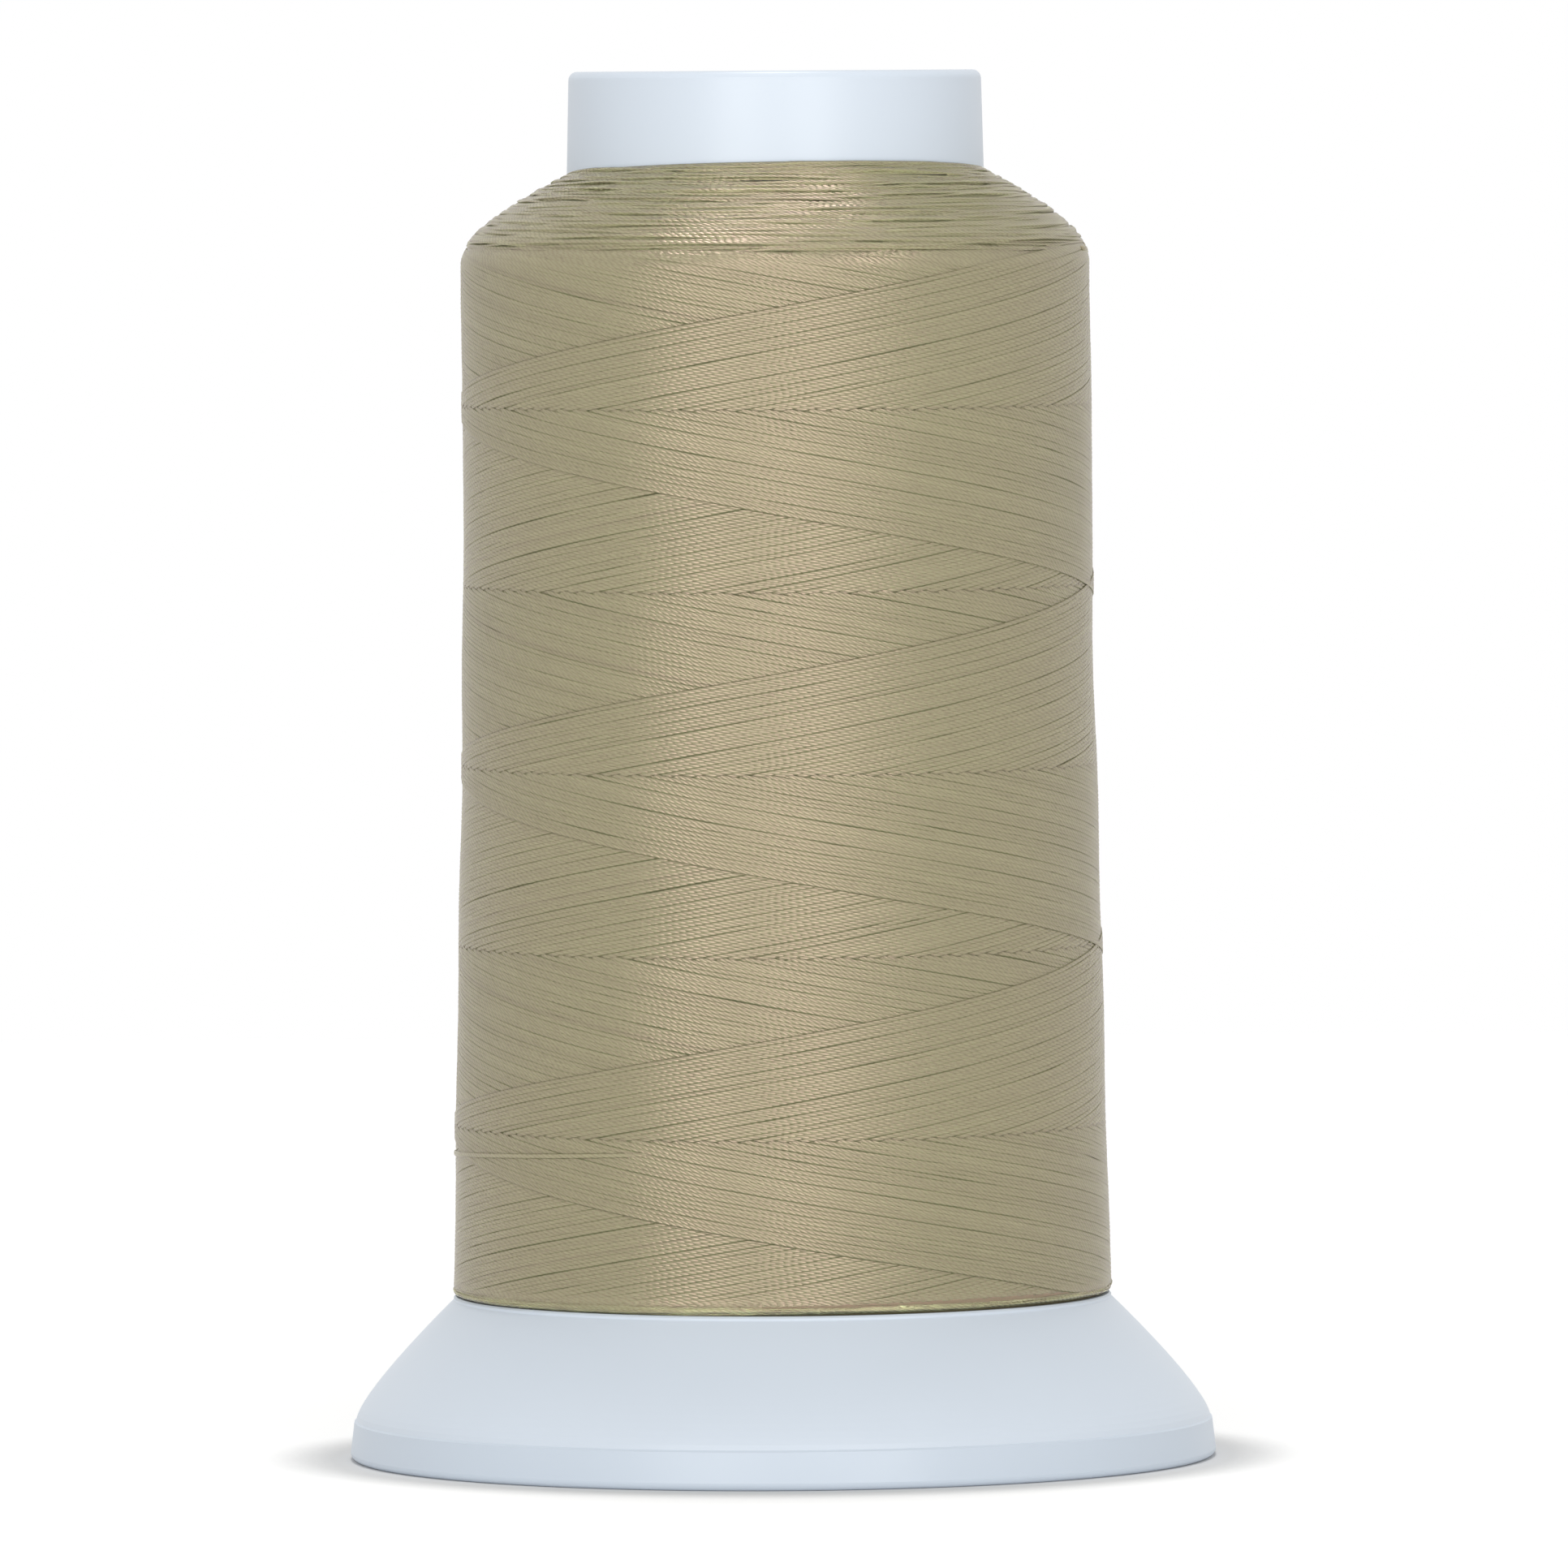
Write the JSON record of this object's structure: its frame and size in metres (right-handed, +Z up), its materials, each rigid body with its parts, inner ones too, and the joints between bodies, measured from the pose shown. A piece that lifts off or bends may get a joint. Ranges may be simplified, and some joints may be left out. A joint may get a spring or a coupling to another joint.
{
  "type": "king spool of thread with snap base",
  "caption": "Tall open-bore spool of cross-wound thread with a flared skirt and a snap base that lifts open to catch the thread end.",
  "frame": {"origin": "middle of the rim's lower face, on the spool's axis, where it stands", "axes": "+Z up the bore and out of the neck; the spool is round, and +X passes through a snap finger"},
  "size_m": [0.07, 0.07, 0.112],
  "materials": {
    "body_plastic": "satin moulded white plastic",
    "base_plastic": "satin moulded white plastic",
    "thread": "fine plied thread, beige, soft sheen"
  },
  "bodies": {
    "base": {"snap_base": "base_plastic"},
    "spool": {"spool_body": "body_plastic", "thread_package": "thread", "rising_turns": "thread", "falling_turns": "thread"}
  },
  "joints": [
    {"name": "catch_slide", "type": "slide", "parent": "base", "child": "spool", "axis": [0, 0, 1], "range_m": [0, 0.003]}
  ]
}
